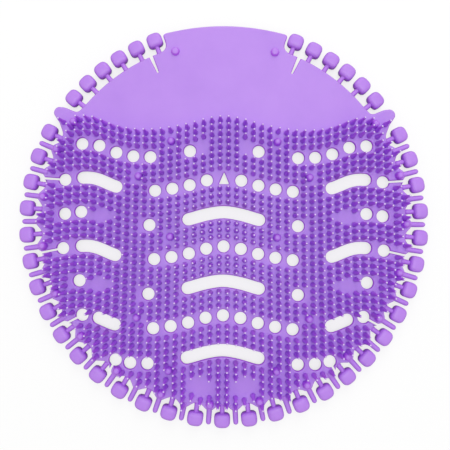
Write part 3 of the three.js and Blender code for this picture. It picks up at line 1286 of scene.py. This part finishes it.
@dataclass
class Bristles:
    """Round tapering bristles in wavy rows."""

    layout: Layout
    heights: Heights
    sides: int = 8
    turn_radians: float = 2.4
    # painted shade down the bristle bodies and a painted highlight on their tips
    PAINTED_SHADES: ClassVar[PaintedShades] = (
        (4.4, 0.9),
        (5.7, 0.65),
        (7.1, 0.9),
        (10.5, 1.0),
        (11.2, -0.4),
        (11.45, -1.0),
    )

    def pattern(self) -> bmesh.types.BMesh:
        """One bristle, standing on the plate's upper face at z = 0.

        Returns:
            The mesh in metres.
        """
        foot = self.layout.bristle_foot / 2
        high = self.heights.bristle
        profile = [
            (0.0, -self.heights.root),
            (foot * 1.15, -self.heights.root),
            (foot, high * 0.11),
            (foot * 0.87, high * 0.27),
            (foot * 0.64, high * 0.45),
            (foot * 0.48, high * 0.88),
            (foot * 0.32, high * 0.965),
            (0.0, high - 0.01),
        ]
        return lathe(profile, self.sides)

    def build(self, repeater: Repeater, outline: list[Vector]) -> bpy.types.Mesh:
        """All bristles as one mesh.

        Args:
            repeater: Sets the copies.
            outline: The plate's edge.

        Returns:
            The bristles.
        """
        feet = self.layout.bristles(outline)
        places = [Vector((p.x * MM, p.y * MM, self.heights.top * MM)) for p in feet]
        turns = [(0.0, 0.0, index * self.turn_radians) for index in range(len(places))]
        return repeater.repeat("bristles", self.pattern(), places, turns)


@dataclass
class Nubs:
    """Thicker domed nubs, the crescent's two studs and the feet below the plate."""

    layout: Layout
    heights: Heights
    stud_diameter: float = 4.0
    foot_diameter: float = 3.0
    sides: int = 16

    def dome(self, diameter: float, height: float) -> bmesh.types.BMesh:
        """A domed boss that stands on z = 0.

        Args:
            diameter: Its width at the foot.
            height: Its height.

        Returns:
            The mesh in metres.
        """
        half = diameter / 2
        profile = [
            (0.0, -self.heights.root),
            (half * 1.04, -self.heights.root),
            (half, height * 0.06),
            (half * 0.93, height * 0.45),
            (half * 0.83, height * 0.78),
            (half * 0.6, height * 0.95),
            (half * 0.3, height * 0.99),
            (0.0, height),
        ]
        return lathe(profile, self.sides)

    def build(self, repeater: Repeater) -> list[tuple[bpy.types.Mesh, PaintedShades]]:
        """The nubs, studs and feet.

        Args:
            repeater: Sets the copies.

        Returns:
            One mesh for each kind, with its painted shade steps.
        """
        layout = self.layout
        heights = self.heights
        top = heights.top
        all_nubs = layout.nubs() + layout.rim_nubs()
        x, y = layout.stud
        studs = [Vector((side * x, y)) for side in (1, -1)]
        kinds = {
            "nubs": (layout.nub_diameter, heights.nub, all_nubs, Side.TOP),
            "studs": (self.stud_diameter, heights.stud, studs, Side.TOP),
            "feet": (self.foot_diameter, heights.foot, layout.nubs(), Side.BOTTOM),
        }
        meshes = []
        for name, (diameter, height, places, side) in kinds.items():
            level = top if side is Side.TOP else heights.foot
            flip = 0.0 if side is Side.TOP else math.pi
            spots = [Vector((p.x * MM, p.y * MM, level * MM)) for p in places]
            turns = [(flip, 0.0, 0.0)] * len(spots)
            mesh = repeater.repeat(name, self.dome(diameter, height), spots, turns)
            crown = top + height
            # painted shade on each dome's sides, lighter towards its crown; the feet below the plate are
            # all in painted shade
            painted_shades = ((crown - 0.6, 1.0), (crown - 0.25, 0.7), (crown, 0.1))
            meshes.append((mesh, painted_shades))
        return meshes


@dataclass
class Paddles:
    """Pillow-shaped square paddles with their stems, and the round pins between them."""

    layout: Layout
    heights: Heights
    points: int = 28
    rod_sides: int = 16
    outer_squareness: float = 2.9
    inner_squareness: float = 4.0
    crown: float = 0.04
    stem_drop: float = 0.12

    def paddle(self) -> bmesh.types.BMesh:
        """One paddle, its outer side towards +Y, standing on the floor.

        Returns:
            The mesh in metres.
        """
        thick = self.heights.paddle
        rounding = [
            (2.5, 0.0),
            (1.35, 0.05),
            (0.62, 0.32),
            (0.2, 0.86),
            (0.02, 1.6),
        ]
        levels = rounding + [(inset, thick - height) for inset, height in reversed(rounding)]
        bm = bmesh.new()
        rings = []
        for inset, height in levels:
            ring = []
            for index in range(self.points):
                angle = 2 * math.pi * index / self.points
                x, y = self.squircle(angle, inset)
                ring.append(bm.verts.new((x * MM, y * MM, height * MM)))
            rings.append(ring)
        low = bm.verts.new((0, 0, 0))
        high = bm.verts.new((0, 0, (thick + self.crown) * MM))
        for index in range(self.points):
            after = (index + 1) % self.points
            bm.faces.new((low, rings[0][after], rings[0][index]))
            bm.faces.new((high, rings[-1][index], rings[-1][after]))
            for lower, upper in zip(rings, rings[1:]):
                bm.faces.new((lower[index], lower[after], upper[after], upper[index]))
        return bm

    def squircle(self, angle: float, inset: float) -> tuple[float, float]:
        """A point of a rounded square, rounder on its outer side.

        Args:
            angle: Angle from +X about the middle.
            inset: How far the point lies inside the paddle's full outline.

        Returns:
            The point's place.
        """
        rim = self.layout.rim
        cosine, sine = math.cos(angle), math.sin(angle)
        power = self.outer_squareness if sine > 0 else self.inner_squareness
        radius = 1 / (abs(cosine) ** power + abs(sine) ** power) ** (1 / power)
        wide = rim.paddle_width / 2 - inset
        long = rim.paddle_length / 2 - inset
        return radius * cosine * wide, radius * sine * long

    def stem(self) -> bmesh.types.BMesh:
        """One stem, a flared round rod upwards from the plate's edge.

        Returns:
            The mesh in metres.
        """
        half = self.layout.rim.stem_width / 2
        length = self.layout.rim.stem_length
        profile = [
            (0.0, -0.6),
            (half * 0.85, -0.6),
            (half * 1.0, 0.2),
            (half * 1.2, 0.6),
            (half * 1.08, 1.3),
            (half * 1.05, length),
            (half * 1.1, length + 0.8),
            (0.0, length + 0.8),
        ]
        return lathe(profile, self.rod_sides)

    def pin(self) -> bmesh.types.BMesh:
        """One pin, a rod with a rounded end, upwards from the plate's edge.

        Returns:
            The mesh in metres.
        """
        half = self.layout.rim.pin_width / 2
        length = self.layout.rim.pin_length
        profile = [
            (0.0, 0.4),
            (half * 1.1, 0.4),
            (half * 1.08, 1.6),
            (half * 0.98, 2.8),
            (half * 0.92, length - 1.1),
            (half * 0.78, length - 0.5),
            (half * 0.45, length - 0.12),
            (0.0, length),
        ]
        return lathe(profile, self.rod_sides)

    def build(self, repeater: Repeater) -> list[tuple[bpy.types.Mesh, PaintedShades]]:
        """Paddles, stems and pins.

        Args:
            repeater: Sets the copies.

        Returns:
            One mesh for each kind, with its painted shade steps.
        """
        rim = self.layout.rim
        middle = self.heights.middle
        stations = rim.paddle_stations()
        pin_stations = [(angle, 0.0) for angle in rim.pin_angles()]
        paddles = self.ring(rim.paddle_ring, stations, 0.0)
        stems = self.ring(rim.radius, stations, middle - self.stem_drop)
        pins = self.ring(rim.radius, pin_stations, middle)
        flat = [(0.0, 0.0, -math.radians(angle)) for angle, _ in stations]
        lying = [(-math.pi / 2, 0.0, -math.radians(angle)) for angle, _ in stations]
        lying_pins = [(-math.pi / 2, 0.0, -math.radians(angle)) for angle, _ in pin_stations]
        thick = self.heights.paddle
        # painted shade on the paddles' side walls and on the lower halves of the stems and pins
        pillow = ((0.4, 0.6), (thick - 1.6, 0.7), (thick - 0.6, 0.3), (thick, 0.15))
        rod = ((middle - 1.0, 0.9), (middle + 0.3, 0.8), (middle + 1.1, 0.2))
        return [
            (repeater.repeat("paddles", self.paddle(), paddles, flat), pillow),
            (repeater.repeat("stems", self.stem(), stems, lying), rod),
            (repeater.repeat("pins", self.pin(), pins, lying_pins), rod),
        ]

    @staticmethod
    def ring(radius: float, stations: list[tuple[float, float]], height: float) -> list[Vector]:
        """Places on a ring at one height.

        Args:
            radius: Radius of the ring.
            stations: Angle of each place, and how far it is set back.
            height: Height above the floor.

        Returns:
            The places in metres.
        """
        places = []
        for angle, back in stations:
            x, y = rim_point(radius - back, angle)
            places.append(Vector((x * MM, y * MM, height * MM)))
        return places


@dataclass
class Screen:
    """The whole moulding."""

    layout: Layout
    heights: Heights
    finish: SoftVinyl

    def build(self) -> bpy.types.Object:
        """Builds the moulding and puts it in the place of the CAD solid.

        Returns:
            The finished object.
        """
        material = self.finish.build()
        repeater = Repeater(material)
        plate = Plate(self.layout, self.heights)
        bristles = Bristles(self.layout, self.heights)
        parts = [(plate.build(), plate.painted_shades())]
        parts.append((bristles.build(repeater, plate.outer_edge()), bristles.PAINTED_SHADES))
        parts += Nubs(self.layout, self.heights).build(repeater)
        parts += Paddles(self.layout, self.heights).build(repeater)
        bm = bmesh.new()
        painted_shades = []
        for mesh, steps in parts:
            # every vertex gets its painted shade or highlight value from its height
            painted_shades += [painted_shade_at(vertex.co.z / MM, steps) for vertex in mesh.vertices]
            bm.from_mesh(mesh)
            bpy.data.meshes.remove(mesh)
        bpy.data.node_groups.remove(repeater.tree)
        bmesh.ops.translate(bm, verts=bm.verts, vec=self.ring_middle())
        for face in bm.faces:
            face.smooth = True
            face.material_index = 0
        moulding = new_object("screen_moulding", bm)
        moulding.data.attributes.new(SHADING_ATTRIBUTE, "FLOAT", "POINT").data.foreach_set("value", painted_shades)
        moulding.data.materials.append(material)
        self.even_normals(moulding)
        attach(moulding, BODY)
        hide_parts(NODE)
        log.info("screen_moulding: %d faces", len(moulding.data.polygons))
        return moulding

    def ring_middle(self) -> Vector:
        """The ring's middle in the frame, found from the crescent's top in the CAD box."""
        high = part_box(NODE)[1]
        return Vector((0, high[1] - self.layout.rim.crescent_radius * MM, 0))

    @staticmethod
    def even_normals(obj: bpy.types.Object) -> None:
        """Bakes normals that keep the large flat faces flat.

        Args:
            obj: The moulding, whose mesh is replaced.
        """
        modifier = obj.modifiers.new("even_normals", "WEIGHTED_NORMAL")
        modifier.mode = "FACE_AREA"
        modifier.weight = 100
        mesh = baked_mesh(obj)
        old = obj.data
        obj.modifiers.remove(modifier)
        obj.data = mesh
        bpy.data.meshes.remove(old)
        mesh.name = obj.name


@dataclass(frozen=True)
class Lamp:
    """A square area lamp that faces the screen, in metres and watts."""

    name: str
    place: tuple[float, float, float]
    size: float
    power: float

    def build(self) -> None:
        """Puts the lamp into the scene."""
        data = bpy.data.lights.new(self.name, "AREA")
        data.size = self.size
        data.energy = self.power
        lamp = bpy.data.objects.new(self.name, data)
        lamp.location = self.place
        lamp.rotation_euler = (-Vector(self.place)).to_track_quat("-Z", "Y").to_euler()
        bpy.context.scene.collection.objects.link(lamp)


@dataclass
class Studio:
    """Pale floor, soft lamps and the camera above the screen."""

    scale_mm: float = 0.4616
    distance_mm: float = 212.0
    tilt_degrees: float = 2.2
    roll_degrees: float = 0.46
    aim_x_mm: float = 0.6
    aim_y_mm: float = -0.7
    image_width: int = 450
    sensor_mm: float = 36.0
    clip_start: float = 0.01
    floor_half: float = 3.0
    floor_gap_mm: float = 0.1
    world_light: float = 0.66
    world_seen: float = 1.0
    lamps: tuple[Lamp, ...] = (
        Lamp("overhead_lamp", (0.05, 0.05, 0.9), 0.5, 2.3),
        Lamp("window_lamp", (0.15, 0.85, 0.6), 0.6, 2.4),
    )

    def build(self, level: float) -> None:
        """Builds the studio.

        Args:
            level: Height of the plate's upper face above the floor, in millimetres.
        """
        self.floor()
        self.world()
        for lamp in self.lamps:
            lamp.build()
        self.camera(level)

    def floor(self) -> None:
        """A wide plain floor."""
        bm = bmesh.new()
        bmesh.ops.create_grid(bm, x_segments=1, y_segments=1, size=self.floor_half)
        floor = new_object("floor", bm)
        floor.location.z = -self.floor_gap_mm * MM
        floor.data.materials.append(PaleFloor().build())

    def world(self) -> None:
        """A pale world that looks white to the camera."""
        world = bpy.data.worlds.new("studio_world")
        world.use_nodes = True
        nodes = world.node_tree.nodes
        links = world.node_tree.links
        background = nodes["Background"]
        background.inputs["Color"].default_value = (1, 1, 1, 1)
        seen = nodes.new("ShaderNodeLightPath")
        strength = nodes.new("ShaderNodeMapRange")
        strength.inputs["To Min"].default_value = self.world_light
        strength.inputs["To Max"].default_value = self.world_seen
        links.new(seen.outputs["Is Camera Ray"], strength.inputs["Value"])
        links.new(strength.outputs["Result"], background.inputs["Strength"])
        bpy.context.scene.world = world

    def camera(self, level: float) -> None:
        """The camera, looking down with the photograph's small tilt and roll.

        Args:
            level: Height of the plate's upper face above the floor, in millimetres.
        """
        data = bpy.data.cameras.new("camera")
        data.sensor_width = self.sensor_mm
        data.lens = self.sensor_mm * self.distance_mm / (self.image_width * self.scale_mm)
        data.clip_start = self.clip_start
        tilt = math.radians(self.tilt_degrees)
        back = Vector((0, -math.sin(tilt), math.cos(tilt)))
        aim = Vector((self.aim_x_mm, self.aim_y_mm, level)) * MM
        camera = bpy.data.objects.new("camera", data)
        camera.location = aim + back * self.distance_mm * MM
        turn = Matrix.Rotation(tilt, 3, "X") @ Matrix.Rotation(math.radians(self.roll_degrees), 3, "Z")
        camera.rotation_euler = turn.to_euler()
        bpy.context.scene.collection.objects.link(camera)
        bpy.context.scene.camera = camera


def main() -> None:
    """Builds the screen and the studio, and notes the sizes."""
    heights = Heights()
    Screen(Layout(), heights, SoftVinyl()).build()
    Studio().build(heights.top)
    bpy.context.scene.view_settings.view_transform = "Standard"


if __name__ == "__main__":
    main()
